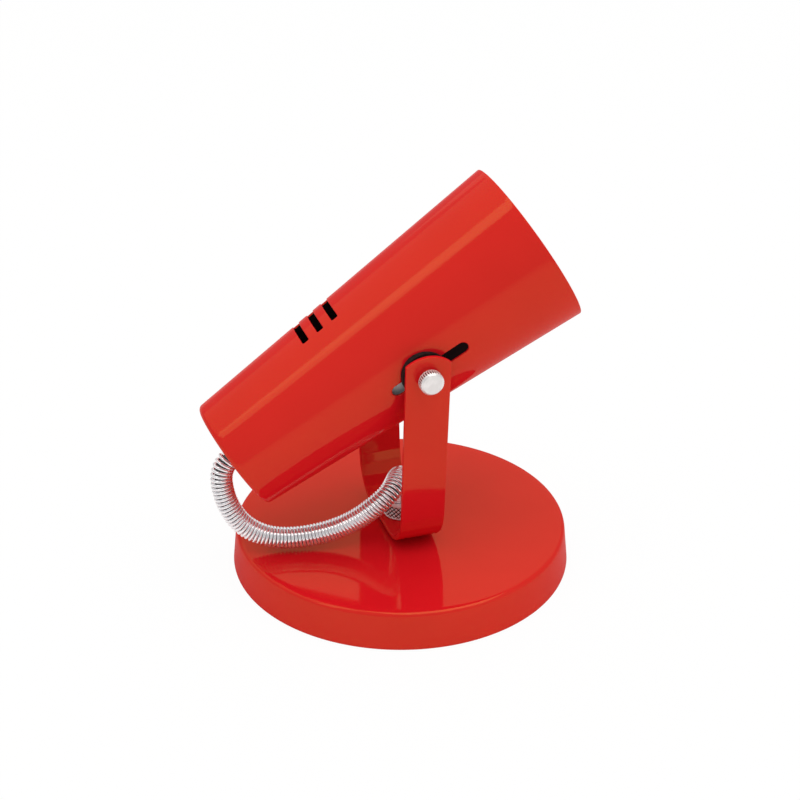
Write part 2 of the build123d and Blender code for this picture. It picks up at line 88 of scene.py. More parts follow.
# %% Frames and main sizes
pivot_height = 91.1
head_angle = radians(31.5)
axis_rise = 2.25
rear, front = -73.9, 59.1
rear_radius, front_radius = 21.6, 32.0
UPRIGHT = Matrix.Rotation(-pi / 2, 4, "Y")
TILTED = Matrix.Translation((0, 0, pivot_height * MM)) @ Matrix.Rotation(-head_angle, 4, "Y")
HEAD = TILTED @ Matrix.Translation((0, 0, axis_rise * MM))
head_line = HEAD.to_3x3() @ Vector((1, 0, 0))


def new_object(name, data):
    """An object of the scene that shows a mesh, curve, light or camera."""
    made = bpy.data.objects.new(name, data)
    scene.collection.objects.link(made)
    return made


def on_axis(distance, rise=0.0):
    """A point of the head's centreline in millimetres, distance ahead of the pivot."""
    return tuple(HEAD @ Vector((distance * MM, 0, rise * MM)) / MM)


print("rear of the head at", [round(value, 1) for value in on_axis(rear)])

# %% [markdown]
# ## Camera
#
# A long lens looks down at 28 degrees from behind the head's left side, so the foot reads as a wide
# ellipse and the head stays nearly undistorted. The small shift centres the picture.

# %% Camera
view_azimuth, view_elevation, view_roll = radians(-17.93), radians(28.02), radians(-0.05)
view_distance = 581.93
view_target = Vector((-2.06, 0, 67.1))
towards_camera = Vector(
    (
        sin(view_azimuth) * cos(view_elevation),
        -cos(view_azimuth) * cos(view_elevation),
        sin(view_elevation),
    )
)
picture_width, focal_pixels, shift_pixels, sensor = 800, 1563.7, 4.9, 36
camera_data = bpy.data.cameras.new("camera")
camera_data.sensor_width = sensor
camera_data.lens = focal_pixels * sensor / picture_width
camera_data.shift_x = shift_pixels / picture_width
camera_data.clip_start = 0.01
camera = new_object("camera", camera_data)
rotation = towards_camera.to_track_quat("Z", "Y").to_matrix().to_4x4()
camera.matrix_world = (
    Matrix.Translation((view_target + towards_camera * view_distance) * MM)
    @ rotation
    @ Matrix.Rotation(view_roll, 4, "Z")
)
scene.camera = camera
print("lens", round(camera_data.lens, 1), "mm from", [round(v, 3) for v in camera.location])

# %% [markdown]
# ## Routes of the conduit and the lead
#
# The conduit rises out of its ferrule, swings towards the left, dips over the edge of the foot and
# climbs into the back of the head. A NURBS line of order 3 through these points rounds each corner
# the way a spring does. The lead keeps to the same line inside it.

# %% Routes
upper_ferrule_at, ferrule_socket, socket_gap = -50.75, 4.5, 0.1
conduit_overshoot, lead_end = 6.5, -45.25
conduit_end = upper_ferrule_at - ferrule_socket - socket_gap
conduit_turn = rear - conduit_overshoot
conduit_points = [
    (0, 0, 22.0),
    (0, 0, 33.2),
    (-3.3, -8.2, 39.2),
    (-10.0, -15.7, 35.3),
    (-25.7, -12.1, 22.7),
    (-48.2, -8.6, 19.5),
    (-61.7, -4.0, 24.1),
    (-68.7, -1.7, 36.2),
    on_axis(conduit_turn),
    on_axis((conduit_turn + conduit_end) / 2, -0.25),
    on_axis(conduit_end),
]
head_lead_points = [(0, 0, 17.5)] + conduit_points[1:-1] + [on_axis(lead_end)]


def route(name, points, radius=0.0):
    """A NURBS curve through millimetre points, as a bare line or as a round lead."""
    curve = bpy.data.curves.new(name, "CURVE")
    curve.dimensions = "3D"
    spline = curve.splines.new("NURBS")
    spline.points.add(len(points) - 1)
    for target, point in zip(spline.points, points):
        target.co = (*(Vector(point) * MM), 1)
    spline.order_u = 3
    spline.use_endpoint_u = True
    spline.resolution_u = 24
    curve.bevel_depth = radius * MM
    curve.bevel_resolution = 6
    curve.use_fill_caps = radius > 0
    return new_object(name, curve)


def line_of(obj):
    """The points, in metres, that an unbevelled route really follows, and their length."""
    bpy.context.view_layer.update()
    mesh = bpy.data.meshes.new_from_object(obj.evaluated_get(bpy.context.evaluated_depsgraph_get()))
    points = [vertex.co.copy() for vertex in mesh.vertices]
    bpy.data.meshes.remove(mesh)
    return points, sum((b - a).length for a, b in zip(points, points[1:]))


conduit_line = route("conduit_line", conduit_points)
conduit_path, conduit_length = line_of(conduit_line)
print("conduit length", round(conduit_length / MM, 1), "mm in", len(conduit_path), "points")

# %% [markdown]
# ## Node trees in a few words
#
# Both shaders and geometry are built from node trees here. Tree adds a node by type, settings and
# inputs, in that order, because some settings change which sockets a node has. Field wraps one
# socket, so that arithmetic written in Python adds the Math nodes.


# %% Tree and Field
class Tree:
    """A node tree; add() makes a node and returns one of its outputs as a Field."""

    def __init__(self, tree):
        self.tree = tree

    def add(self, kind, settings=None, inputs=None, output=0):
        node = self.tree.nodes.new(kind)
        for name, value in (settings or {}).items():
            setattr(node, name, value)
        for name, value in (inputs or {}).items():
            self.feed(node.inputs[name], value)
        return Field(self, node.outputs[output]) if node.outputs else node

    def feed(self, socket, value):
        if isinstance(value, Field):
            self.tree.links.new(value.socket, socket)
        else:
            socket.default_value = value

    def vector(self, operation, *values, output=0):
        return self.add("ShaderNodeVectorMath", {"operation": operation}, dict(enumerate(values)), output)

    def scaled(self, vector, factor):
        return self.add("ShaderNodeVectorMath", {"operation": "SCALE"}, {0: vector, "Scale": factor})


class Field:
    """One output socket; arithmetic on it adds Math nodes to its tree."""

    def __init__(self, tree, socket):
        self.tree = tree
        self.socket = socket

    def out(self, name):
        return Field(self.tree, self.socket.node.outputs[name])

    def math(self, operation, *others):
        values = dict(enumerate((self, *others)))
        return self.tree.add("ShaderNodeMath", {"operation": operation}, values)

    def __add__(self, other):
        return self.math("ADD", other)

    def __sub__(self, other):
        return self.math("SUBTRACT", other)

    def __mul__(self, other):
        return self.math("MULTIPLY", other)

    def __truediv__(self, other):
        return self.math("DIVIDE", other)

    def __rsub__(self, other):
        return self.tree.add("ShaderNodeMath", {"operation": "SUBTRACT"}, {0: other, 1: self})

    __radd__ = __add__
    __rmul__ = __mul__

    def rise(self, low, high):
        """0 below low, 1 above high, smooth between."""
        settings = {"interpolation_type": "SMOOTHSTEP"}
        ends = {"Value": self, "From Min": low, "From Max": high}
        return self.tree.add("ShaderNodeMapRange", settings, ends)


def geometry_tree(name, numbers, kinds=()):
    """An empty geometry tree whose inputs are numbers with defaults, (name, kind) pairs and a material."""
    group = bpy.data.node_groups.new(name, "GeometryNodeTree")
    floats = [(label, "Float") for label in numbers]
    for label, kind in [("Geometry", "Geometry"), *floats, *kinds, ("Material", "Material")]:
        socket = group.interface.new_socket(label, in_out="INPUT", socket_type="NodeSocket" + kind)
        if label in numbers:
            socket.default_value = numbers[label]
    group.interface.new_socket("Geometry", in_out="OUTPUT", socket_type="NodeSocketGeometry")
    tree = Tree(group)
    source = tree.add("NodeGroupInput")
    return tree, source


def close_tree(tree, geometry, material):
    """Realize, set the material and send the geometry out."""
    real = tree.add("GeometryNodeRealizeInstances", inputs={"Geometry": geometry})
    coated = tree.add("GeometryNodeSetMaterial", inputs={"Geometry": real, "Material": material})
    tree.add("NodeGroupOutput", inputs={"Geometry": coated})


def grow(obj, tree, values):
    """Run a geometry tree on an object, and leave the result as its plain mesh."""
    modifier = obj.modifiers.new("grow", "NODES")
    modifier.node_group = tree.tree
    for item in tree.tree.interface.items_tree:
        if item.in_out == "INPUT" and item.name in values:
            modifier[item.identifier] = values[item.name]
    return baked(obj)


def baked(obj):
    """A mesh object with the modifiers of obj applied; obj itself is removed."""
    bpy.context.view_layer.update()
    shape = obj.evaluated_get(bpy.context.evaluated_depsgraph_get())
    mesh = bpy.data.meshes.new_from_object(shape)
    name = obj.name
    bpy.data.objects.remove(obj)
    return new_object(name, mesh)


print("trees ready")

# %% [markdown]
# ## Finishes
#
# Every finish starts from the same Principled shader. Constants are set on the shader's own sockets,
# and only what varies over the surface is fed by nodes. Coordinates are the object's own, in metres,
# so a noise of scale 700 has grains of about a millimetre and a half.


# %% Material helpers
def finish(name, constants):
    """A new material, its node tree and its shader, with the shader's constants set."""
    material = bpy.data.materials.new(name)
    material.use_nodes = True
    shader = material.node_tree.nodes["Principled BSDF"]
    for socket, value in constants.items():
        shader.inputs[socket].default_value = value
    return material, Tree(material.node_tree), shader


def grain(tree, scale, detail):
    """Noise in the object's own coordinates."""
    place = tree.add("ShaderNodeTexCoord", output="Object")
    return tree.add("ShaderNodeTexNoise", inputs={"Vector": place, "Scale": scale, "Detail": detail})


def blend_colours(tree, factor, first, second):
    """A colour between two, by factor; each is a field or a (red, green, blue)."""
    first, second = (value if isinstance(value, Field) else (*value, 1) for value in (first, second))
    values = {"Factor": factor, "A": first, "B": second}
    return tree.add("ShaderNodeMix", {"data_type": "RGBA"}, values, output="Result")


def bump(tree, height, depth):
    """Normals from a height field, depth in millimetres."""
    return tree.add("ShaderNodeBump", inputs={"Height": height, "Distance": depth * MM})


def mix_in(tree, shader, share, other):
    """Send out shader with a share of another one mixed in."""
    both = tree.add("ShaderNodeMixShader", inputs={0: share, 1: Field(tree, shader.outputs[0]), 2: other})
    tree.feed(tree.tree.nodes["Material Output"].inputs["Surface"], both)


# %% [markdown]
# ### Red enamel
#
# Stoved paint is a glossy skin over pigment. The pigment is a crimson that drifts a little over
# centimetres. The skin reflects light a little warm, because it hangs full of pigment, so it's a
# small share of a warm mirror mixed into the pigment. It has a faint orange peel, the texture that
# sprayed paint keeps when it flows out. A weak coat on top keeps the sharpest highlights white. Rare
# dust grains are a sharp threshold on a fine noise. The head's inner face is dull and nearly black,
# found by distance from the head's centreline; the faint red in that dark colour is painted light
# bounced off the red cut edges.


# %% Red enamel
taper = (front_radius - rear_radius) / (front - rear)
paint_reach = 0.7  # how far the spray wraps into the sheet's cut edge


def inside_head(tree):
    """1 on the inner faces of the head, from each point's distance to the centreline."""
    centre = Vector(on_axis(0)) * MM
    place = tree.add("ShaderNodeTexCoord", output="Object")
    away = tree.vector("SUBTRACT", place, centre)
    along = tree.vector("DOT_PRODUCT", away, head_line, output=1)
    radius = tree.vector("LENGTH", tree.vector("CROSS_PRODUCT", away, head_line), output=1)
    wall = (rear_radius - taper * rear - paint_reach) * MM + along * taper
    return (wall - radius).math("GREATER_THAN", 0.0) * along.math("GREATER_THAN", (rear + paint_reach) * MM)


def enamel(name, inner=None):
    """Red paint; inner is a function that tells where the dark inner faces are."""
    coat_weight, skin_share = 0.22, 0.03
    material, tree, shader = finish(name, {"Specular IOR Level": 0.0, "Coat Roughness": 0.05})
    cloud = grain(tree, 38, detail=2.0)
    pigment = blend_colours(tree, cloud, (0.60, 0.0070, 0.0125), (0.67, 0.0100, 0.0155))
    peel = grain(tree, 620, detail=1.5)
    dust = grain(tree, 2600, detail=1.0).rise(0.74, 0.8)
    inner_face_mask = inner(tree) if inner else 0.0 * cloud  # 0 where there is paint
    # the dark inner colour; its faint red is painted light bounced off the red cut edges
    tree.feed(shader.inputs["Base Color"], blend_colours(tree, inner_face_mask, pigment, (0.028, 0.014, 0.016)))
    tree.feed(shader.inputs["Coat Weight"], coat_weight - inner_face_mask * coat_weight)
    peeled = bump(tree, peel + dust * 0.6, 0.004)
    tree.feed(shader.inputs["Normal"], peeled)
    skin = {"Metallic": 1.0, "Base Color": (1.0, 0.72, 0.03, 1), "Normal": peeled}
    skin["Roughness"] = 0.07 + dust * 0.2 + cloud * 0.03
    warm = tree.add("ShaderNodeBsdfPrincipled", inputs=skin)
    mix_in(tree, shader, skin_share - inner_face_mask * skin_share, warm)
    return material


red_enamel = enamel("red_enamel")
head_enamel = enamel("head_enamel", inside_head)
print("red enamel nodes:", len(red_enamel.node_tree.nodes), len(head_enamel.node_tree.nodes))

# %% [markdown]
# ### Plated and bare metals
#
# The spring wire is drawn, hard and bright: low roughness with fine marks along it. Nickel-plated
# knurls are a little duller, with painted shade darkening the roots of their grooves. Zinc sheet shows the
# cloudy spangle of its plating, brass is warmer and cast iron is dull, dark and pitted.


# %% Metals
def metal(name, colour, dark, roughness, spread, scale, depth, metallic=1.0, groove_shade=None):
    """A metal whose colour, roughness and surface drift with one noise and its finer twin.

    It goes from dark to colour, its roughness strays by spread, scale sets the size of its clouds
    and depth how deep its marks are, in millimetres. The last argument, if given, is painted shade:
    a near-black colour laid into the deepest parts of the grooves of a knurl or a thread.
    """
    material, tree, shader = finish(name, {"Metallic": metallic})
    coarse = grain(tree, scale, detail=4.0)
    fine = grain(tree, scale * 9, detail=2.0)
    shade = blend_colours(tree, coarse.rise(0.35, 0.7), dark, colour)
    if groove_shade:
        depth_in = tree.add("ShaderNodeAttribute", {"attribute_name": "groove"}, output="Fac")
        # painted shade in the grooves, where the stored groove depth is high
        shade = blend_colours(tree, depth_in.rise(0.6, 0.82), shade, groove_shade)
    tree.feed(shader.inputs["Base Color"], shade)
    tree.feed(shader.inputs["Roughness"], roughness + (coarse - 0.5) * spread + (fine - 0.5) * spread)
    tree.feed(shader.inputs["Normal"], bump(tree, fine + coarse * 0.5, depth))
    return material


chrome_wire = metal("chrome_wire", (0.96, 0.95, 0.97), (0.89, 0.88, 0.91), 0.12, 0.06, 900, 0.004, 0.9)
nickel = metal("nickel", (0.80, 0.79, 0.78), (0.68, 0.67, 0.66), 0.24, 0.16, 500, 0.006)
knurl_colours = (0.86, 0.84, 0.84), (0.76, 0.74, 0.74)
# the knurls' grooves get a near-black painted shade
knurled = metal("knurled_nickel", *knurl_colours, 0.22, 0.12, 500, 0.006, 0.45, groove_shade=(0.03, 0.02, 0.02))
# near white and barely metallic: a painted reflection, for the bright spot the carrier shows through the slot
bright_zinc = metal("bright_zinc", (0.98, 0.98, 0.99), (0.92, 0.92, 0.94), 0.3, 0.15, 260, 0.006, 0.1)
zinc = metal("zinc", (0.66, 0.67, 0.69), (0.52, 0.53, 0.56), 0.38, 0.2, 260, 0.008)
brass = metal("brass", (0.80, 0.62, 0.30), (0.66, 0.47, 0.20), 0.26, 0.18, 400, 0.006)
cast_iron = metal("cast_iron", (0.13, 0.13, 0.135), (0.06, 0.055, 0.055), 0.62, 0.3, 700, 0.12)
print("metals:", [m.name for m in (chrome_wire, nickel, knurled, bright_zinc, zinc, brass, cast_iron)])

# %% [markdown]
# ### Porcelain, rubber, fibre and foam
#
# The rest don't conduct light away as metals do: each is a base colour with its own grain. Porcelain
# is glazed, so it gets a coat. Foam is the only one rough enough for its cells to show.


# %% Non-metals
def dull(name, colour, dark, roughness, scale, depth, constants=None):
    """A non-metal with a grain that darkens its pits."""
    material, tree, shader = finish(name, constants or {})
    cells = grain(tree, scale, detail=4.0)
    tree.feed(shader.inputs["Base Color"], blend_colours(tree, cells.rise(0.3, 0.65), dark, colour))
    tree.feed(shader.inputs["Roughness"], roughness + (0.5 - cells) * 0.2)
    tree.feed(shader.inputs["Normal"], bump(tree, cells, depth))
    return material


glaze = {"Coat Weight": 0.8, "Coat Roughness": 0.08}
porcelain = dull("porcelain", (0.84, 0.83, 0.79), (0.79, 0.77, 0.72), 0.35, 240, 0.01, glaze)
rubber = dull("rubber", (0.030, 0.030, 0.031), (0.012, 0.012, 0.012), 0.62, 1400, 0.02)
matt = {"Specular IOR Level": 0.15}
fibre = dull("fibre", (0.018, 0.014, 0.014), (0.008, 0.006, 0.006), 0.6, 900, 0.02, matt)
foam = dull("foam", (0.045, 0.045, 0.047), (0.006, 0.006, 0.006), 0.9, 1900, 0.25)
nylon = dull("nylon", (0.74, 0.72, 0.66), (0.66, 0.63, 0.57), 0.45, 700, 0.01)
flex_grey = dull("flex_grey", (0.13, 0.13, 0.135), (0.09, 0.09, 0.095), 0.48, 1100, 0.02)
print("non-metals:", [m.name for m in (porcelain, rubber, fibre, foam, nylon, flex_grey)])

# %% [markdown]
# ## Pieces that are turned
#
# A turned piece is an outline swept round its own X axis. rounded() takes corners with a radius
# each, so every edge that light can catch has its small bevel. shown() puts a finished mesh in place,
# gives it its finish and hides the CAD nodes it stands for.


# %% Turning
def rounded(corners, steps=5):
    """An outline of (x, y) from (x, y, radius) corners, each radius drawn as a short arc."""
    spots = [complex(x, y) for x, y, _ in corners]
    outline = []
    for index, (_, _, radius) in enumerate(corners):
        here = spots[index]
        if radius == 0:
            outline.append(here)
            continue
        back = spots[index - 1] - here
        ahead = spots[(index + 1) % len(spots)] - here
        back /= abs(back)
        ahead /= abs(ahead)
        half = abs(phase(ahead / back)) / 2
        centre = here + (back + ahead) / abs(back + ahead) * radius / sin(half)
        start = here + back * radius / tan(half) - centre
        end = here + ahead * radius / tan(half) - centre
        outline += [centre + start * turn_by(1j * phase(end / start) * k / steps) for k in range(steps + 1)]
    return [(spot.real, spot.imag) for spot in outline]


def mesh_object(name, points, faces):
    """A mesh object from points in millimetres."""
    mesh = bpy.data.meshes.new(name)
    mesh.from_pydata([tuple(Vector(point) * MM) for point in points], [], faces)
    return new_object(name, mesh)


def turned(name, outline, segments=96):
    """A closed outline of (along, radius) swept round X."""
    points = []
    for step in range(segments):
        angle = 2 * pi * step / segments
        points += [(x, r * cos(angle), r * sin(angle)) for x, r in outline]
    count = len(outline)
    faces = []
    for step in range(segments):
        here, there = step * count, (step + 1) % segments * count
        for k in range(count):
            after = (k + 1) % count
            faces.append((here + k, here + after, there + after, there + k))
    return tidy(mesh_object(name, points, faces))


def tidy(obj):
    """Merge doubled points and turn every face outwards."""
    work = bmesh.new()
    work.from_mesh(obj.data)
    bmesh.ops.remove_doubles(work, verts=work.verts, dist=0.002 * MM)
    bmesh.ops.recalc_face_normals(work, faces=work.faces)
    work.to_mesh(obj.data)
    work.free()
    return obj


def shown(obj, material, body, nodes, place=None, edge=32):
    """Put a piece in place, shade it smooth up to an edge angle, and hide the CAD nodes it stands for.

    body is the name of the body it rides on; a piece given a pair of bodies stays where it is, on neither.
    """
    if place is not None:
        obj.data.transform(place)
    obj.data.materials.clear()
    obj.data.materials.append(material)
    obj.data.shade_smooth()
    obj.data.set_sharp_from_angle(angle=radians(edge))
    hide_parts(*nodes)
    if isinstance(body, tuple):
        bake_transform(obj)
    else:
        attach(obj, body)
    print(obj.name, len(obj.data.polygons), "faces")
    return obj


# %% [markdown]
# ## Pieces made of sheet
#
# The foot's dish, the head's can and the bracket are all sheet metal with holes, so one method
# makes them: pierce a flat grid, map it onto the formed shape, thicken it, and soften its edges. Each
# hole is the set of points at one distance from a line through its middle, which gives a round hole, a
# slot with round ends, or, with a higher power in the distance, a slot with nearly square ends. Rings
# of quads lead from the hole's edge out to the grid, so highlights run past it undisturbed.


# %% Sheet
def pierced_grid(rows, columns, holes, wrap=False):
    """Points (row, column) and quads of a grid with holes.

    A hole is a dict: line (two points), half (half its width), power, stretch (millimetres per
    unit of column) and room (how far the rings reach).
    """
    points = [(u, v) for u in rows for v in columns]
    width = len(columns)
    blocked = set()
    rings = []
    for hole in holes:
        (u0, v0), (u1, v1) = hole["line"]
        reach = hole["half"] + hole["room"]
        across = reach / hole["stretch"]
        first = np.searchsorted(rows, min(u0, u1) - reach + 1e-6) - 1
        last = np.searchsorted(rows, max(u0, u1) + reach - 1e-6)
        low = np.searchsorted(columns, min(v0, v1) - across + 1e-6) - 1
        high = np.searchsorted(columns, max(v0, v1) + across - 1e-6)
        blocked |= {(i, j) for i in range(first, last) for j in range(low, high)}
        edge = [(i, low) for i in range(first, last)] + [(last, j) for j in range(low, high)]
        edge += [(i, high) for i in range(last, first, -1)] + [(first, j) for j in range(high, low, -1)]
        rings.append((hole, [i * width + j for i, j in edge]))
    faces = []
    for i in range(len(rows) - 1):
        for j in range(width if wrap else width - 1):
            if (i, j) not in blocked:
                right = (j + 1) % width
                faces.append((i * width + j, (i + 1) * width + j, (i + 1) * width + right, i * width + right))
    for hole, outer in rings:
        (u0, v0), (u1, v1) = hole["line"]
        stretch = hole["stretch"]
        start = np.array([u0, v0 * stretch])
        run = np.array([u1, v1 * stretch]) - start
        border = outer
        for share in (0.6, 0.28, 0.0):
            inner = []
            for index in border:
                spot = np.array([points[index][0], points[index][1] * stretch])
                part = np.clip(np.dot(spot - start, run) / max(np.dot(run, run), 1e-9), 0, 1)
                centre = start + run * part
                away = spot - centre
                size = (abs(away) ** hole["power"]).sum() ** (1 / hole["power"])
                rim = centre + away * hole["half"] / size
                inner.append(rim + (spot - rim) * share)
            fresh = list(range(len(points), len(points) + len(inner)))
            points += [(u, v / stretch) for u, v in inner]
            count = len(fresh)
            for k in range(count):
                after = (k + 1) % count
                faces.append((outer[k], outer[after], fresh[after], fresh[k]))
            outer = fresh
    return points, faces


def sheet(name, points, faces, place_point, thickness, edge=0.22):
    """Map a flat grid with place_point(u, v), thicken it inwards and round its cut edges."""
    obj = mesh_object(name, [place_point(u, v) for u, v in points], faces)
    work = bmesh.new()
    work.from_mesh(obj.data)
    loose = [vertex for vertex in work.verts if not vertex.link_faces]
    bmesh.ops.delete(work, geom=loose, context="VERTS")
    work.to_mesh(obj.data)
    work.free()
    solid = obj.modifiers.new("thickness", "SOLIDIFY")
    solid.thickness = thickness * MM
    solid.offset = -1
    solid.use_even_offset = True
    soft = obj.modifiers.new("edges", "BEVEL")
    soft.width = edge * MM
    soft.segments = 3
    soft.limit_method = "ANGLE"
    soft.angle_limit = radians(50)
    obj.data.shade_smooth()
    return baked(obj)


def stepped(a, b, distance, spacing):
    """Even points from a up to but without b, about spacing apart over distance."""
    count = max(1, round(distance / spacing))
    return [(a[0] + (b[0] - a[0]) * k / count, a[1] + (b[1] - a[1]) * k / count) for k in range(count)]


def revolved_profile(corners, spacing):
    """Points about spacing apart on an open outline: distances and (along, radius)."""
    line = rounded(corners)
    fine = []
    for a, b in zip(line, line[1:]):
        fine += stepped(a, b, hypot(b[0] - a[0], b[1] - a[1]), spacing)
    fine.append(line[-1])
    steps = [0.0] + [hypot(b[0] - a[0], b[1] - a[1]) for a, b in zip(fine, fine[1:])]
    return np.cumsum(steps), np.array(fine)


print("sheet method ready")

# %% [markdown]
# ### Shade
#
# The can is a cone with a rounded back edge and a flat back with a hole for the conduit. Three vents
# cross the top, a little off to the far side, and a slot on each side lets the can slide on its clamp
# screws. Distances along the head are measured from the pivot.

# %% Shade
shade_wall, back_edge, conduit_hole = 0.9, 1.8, 4.95
vent_half, first_vent, vent_pitch = 1.375, -27.4, 6.55
vent_far, vent_near = radians(-38), radians(15)
slot_half, slot_rise, slot_ends, slot_radius = 2.3, 2.25, (-11.0, 15.9), 27.3
shade_steps, shade_line = revolved_profile(
    [(rear, conduit_hole, 0), (rear, rear_radius, back_edge), (front, front_radius, 0)], 1.5
)


def step_at(distance):
    """Distance along the shade's profile of a place on the cone."""
    return float(np.interp(distance, shade_line[:, 0], shade_steps))


def cone_radius(distance):
    """Outer radius of the cone."""
    return rear_radius + taper * (distance - rear)


def shade_point(u, v):
    """Place on the shade; v is the angle from the top towards the left side."""
    x = np.interp(u, shade_steps, shade_line[:, 0])
    r = np.interp(u, shade_steps, shade_line[:, 1])
    return x, -r * sin(v), r * cos(v)


shade_columns = np.linspace(-pi, pi, 224, endpoint=False)
vents = []
for index in range(3):
    at = first_vent + vent_pitch * index
    half_turn = vent_half / cone_radius(at)
    line = [(step_at(at), end) for end in (vent_far + half_turn, vent_near - half_turn)]
    vents.append({"line": line, "half": vent_half, "power": 9, "stretch": cone_radius(at), "room": 1.0})
slots = []
for side in (1, -1):
    line = [(step_at(at), side * (pi / 2 + asin(slot_rise / cone_radius(at)))) for at in slot_ends]
    slots.append({"line": line, "half": slot_half, "power": 2, "stretch": slot_radius, "room": 1.6})
points, faces = pierced_grid(shade_steps, shade_columns, vents + slots, wrap=True)
shade = sheet("shade_can", points, [face[::-1] for face in faces], shade_point, shade_wall)
shown(shade, head_enamel, "shade_can", ["shade"], HEAD)

# %% [markdown]
# ### Foot
#
# The dish is pressed from sheet: a flat top, a soft edge, a skirt that widens a little towards the
# table, and one hole at the back for the flex. It's the same pierced grid, swept round the upright
# axis.

# %% Foot
foot_top, foot_bottom, stem_hole, foot_wall = 15.0, 0.5, 5.0, 1.2
shoulder_radius, rim_radius, shoulder_edge = 63.4, 65.0, 1.8
inlet_height, inlet_radius = 8.4, 4.1
foot_steps, foot_line = revolved_profile(
    [(foot_top, stem_hole, 0), (foot_top, shoulder_radius, shoulder_edge), (foot_bottom, rim_radius, 0)], 1.6
)
foot_columns = np.linspace(0, 2 * pi, 256, endpoint=False)


def foot_point(u, v):
    """Place on the dish in the upright frame; v turns about the upright axis."""
    x = np.interp(u, foot_steps, foot_line[:, 0])
    r = np.interp(u, foot_steps, foot_line[:, 1])
    return x, -r * sin(v), r * cos(v)


inlet_step = float(np.interp(-inlet_height, -foot_line[:, 0], foot_steps))
inlet = {
    "line": ((inlet_step, 1.5 * pi), (inlet_step, 1.5 * pi)),
    "half": inlet_radius,
    "power": 2,
    "stretch": (shoulder_radius + rim_radius) / 2,
    "room": 1.2,
}
grid = pierced_grid(foot_steps, foot_columns, [inlet], wrap=True)
foot = sheet("foot_dish", *grid, foot_point, foot_wall)
shown(foot, red_enamel, "base", ["base_shell"], UPRIGHT)

# %% [markdown]
# ### Bracket
#
# A flat blank with three holes and two arched ends is bent up at both sides. The blank is drawn flat
# and only the mapping knows about the bends, which is how the real one is made.

# %% Bracket
plate_bottom = 16.0
strip_width, strip_thickness = 16.6, 1.5
arm_gap, top_rise, arch_radius, bend_radius = 2.8, 8.5, 12.5, 16.0
splay = radians(4.4)
screw_hole, arch_depth = 2.15, 5.2
arm_outer = cone_radius(0) + arm_gap + strip_thickness / cos(splay)
bracket_half = arm_outer - (pivot_height - plate_bottom) * tan(splay)
arm_top = pivot_height + top_rise
top_half = bracket_half + (arm_top - plate_bottom) * tan(splay)
bracket_steps, bracket_line = revolved_profile(
    [
        (-top_half, arm_top, 0),
        (-bracket_half, plate_bottom, bend_radius),
        (bracket_half, plate_bottom, bend_radius),
        (top_half, arm_top, 0),
    ],
    0.9,
)
bracket_length = float(bracket_steps[-1])


def bracket_point(u, v):
    """Place on the outside of the bent strip; near its ends the steps crowd to follow the arch."""
    from_end = min(u, bracket_length - u)
    drop = arch_radius - sqrt(arch_radius**2 - v * v)
    if from_end < arch_depth:
        moved = drop + from_end * (1 - drop / arch_depth)
        u = moved if u < arch_depth else bracket_length - moved
    return v, np.interp(u, bracket_steps, bracket_line[:, 0]), np.interp(u, bracket_steps, bracket_line[:, 1])


pin = top_rise / cos(splay)
blank_holes = [
    {"line": ((at, 0), (at, 0)), "half": half, "power": 2, "stretch": 1, "room": 0.9}
    for at, half in ((pin, screw_hole), (bracket_length / 2, stem_hole), (bracket_length - pin, screw_hole))
]
grid = pierced_grid(bracket_steps, np.linspace(-strip_width / 2, strip_width / 2, 25), blank_holes)
bracket = sheet("u_bracket", *grid, bracket_point, strip_thickness)
shown(bracket, red_enamel, "bracket_arm", ["bracket"])
print("strip length", round(bracket_length, 1), "mm")

# %% [markdown]
# ## A tree for knurls and threads
#
# Knurls and threads are waves that run round a turned piece and climb along it. The tree moves every
# outside point of a piece inwards by such a wave: with no climb it's a straight knurl, with two
# crossed waves a diamond knurl, and with one wave and a small climb a thread. It works while the
# piece still lies along its own X axis.

# %% Ripple tree
ripple, source = geometry_tree(
    "ripple",
    {
        "Waves Round": 40.0,
        "Climb Per Metre": 0.0,
        "Crossed": 0.0,
        "Depth": 0.2 * MM,
        "Start": 0.0,
        "End": 5.0 * MM,
        "Run Out": 0.4 * MM,
        "Outside": 5.0 * MM,
        "Round Wave": 0.0,
    },
)
position = ripple.add("GeometryNodeInputPosition")
parts = ripple.add("ShaderNodeSeparateXYZ", inputs={"Vector": position})
x, y, z = (parts.out(name) for name in "XYZ")
radius = (y * y + z * z).math("SQRT")
round_share = z.math("ARCTAN2", y) / (2 * pi)


def wave(climb):
    """0 on the crests and 1 in the grooves, as a tooth or as a round wave."""
    turns = round_share * source.out("Waves Round") + x * climb
    tooth = (turns.math("FRACT") * 2 - 1).math("ABSOLUTE")
    swell = (turns * (2 * pi)).math("COSINE") * 0.5 + 0.5
    return tooth + (swell - tooth) * source.out("Round Wave")


climb = source.out("Climb Per Metre")
first_wave = wave(climb)
second_wave = wave(climb * -1.0) * source.out("Crossed")
groove = first_wave.math("MAXIMUM", second_wave)
run_out = source.out("Run Out")
fade_in = x.rise(source.out("Start"), source.out("Start") + run_out)
fade_out = 1 - x.rise(source.out("End") - run_out, source.out("End"))
outside = radius.math("GREATER_THAN", source.out("Outside"))
inward = groove * fade_in * fade_out * outside * source.out("Depth") * -1.0 / radius
offset = ripple.add("ShaderNodeCombineXYZ", inputs={"Y": y * inward, "Z": z * inward})
moved = ripple.add(
    "GeometryNodeSetPosition", inputs={"Geometry": source.out("Geometry"), "Offset": offset}
)
# the stored groove depth also places the painted shade of the knurled finish
marked = ripple.add(
    "GeometryNodeStoreNamedAttribute",
    {"data_type": "FLOAT", "domain": "POINT"},
    {"Geometry": moved, "Name": "groove", "Value": groove * fade_in * fade_out * outside},
)
close_tree(ripple, marked, source.out("Material"))
print("ripple tree:", len(ripple.tree.nodes), "nodes")


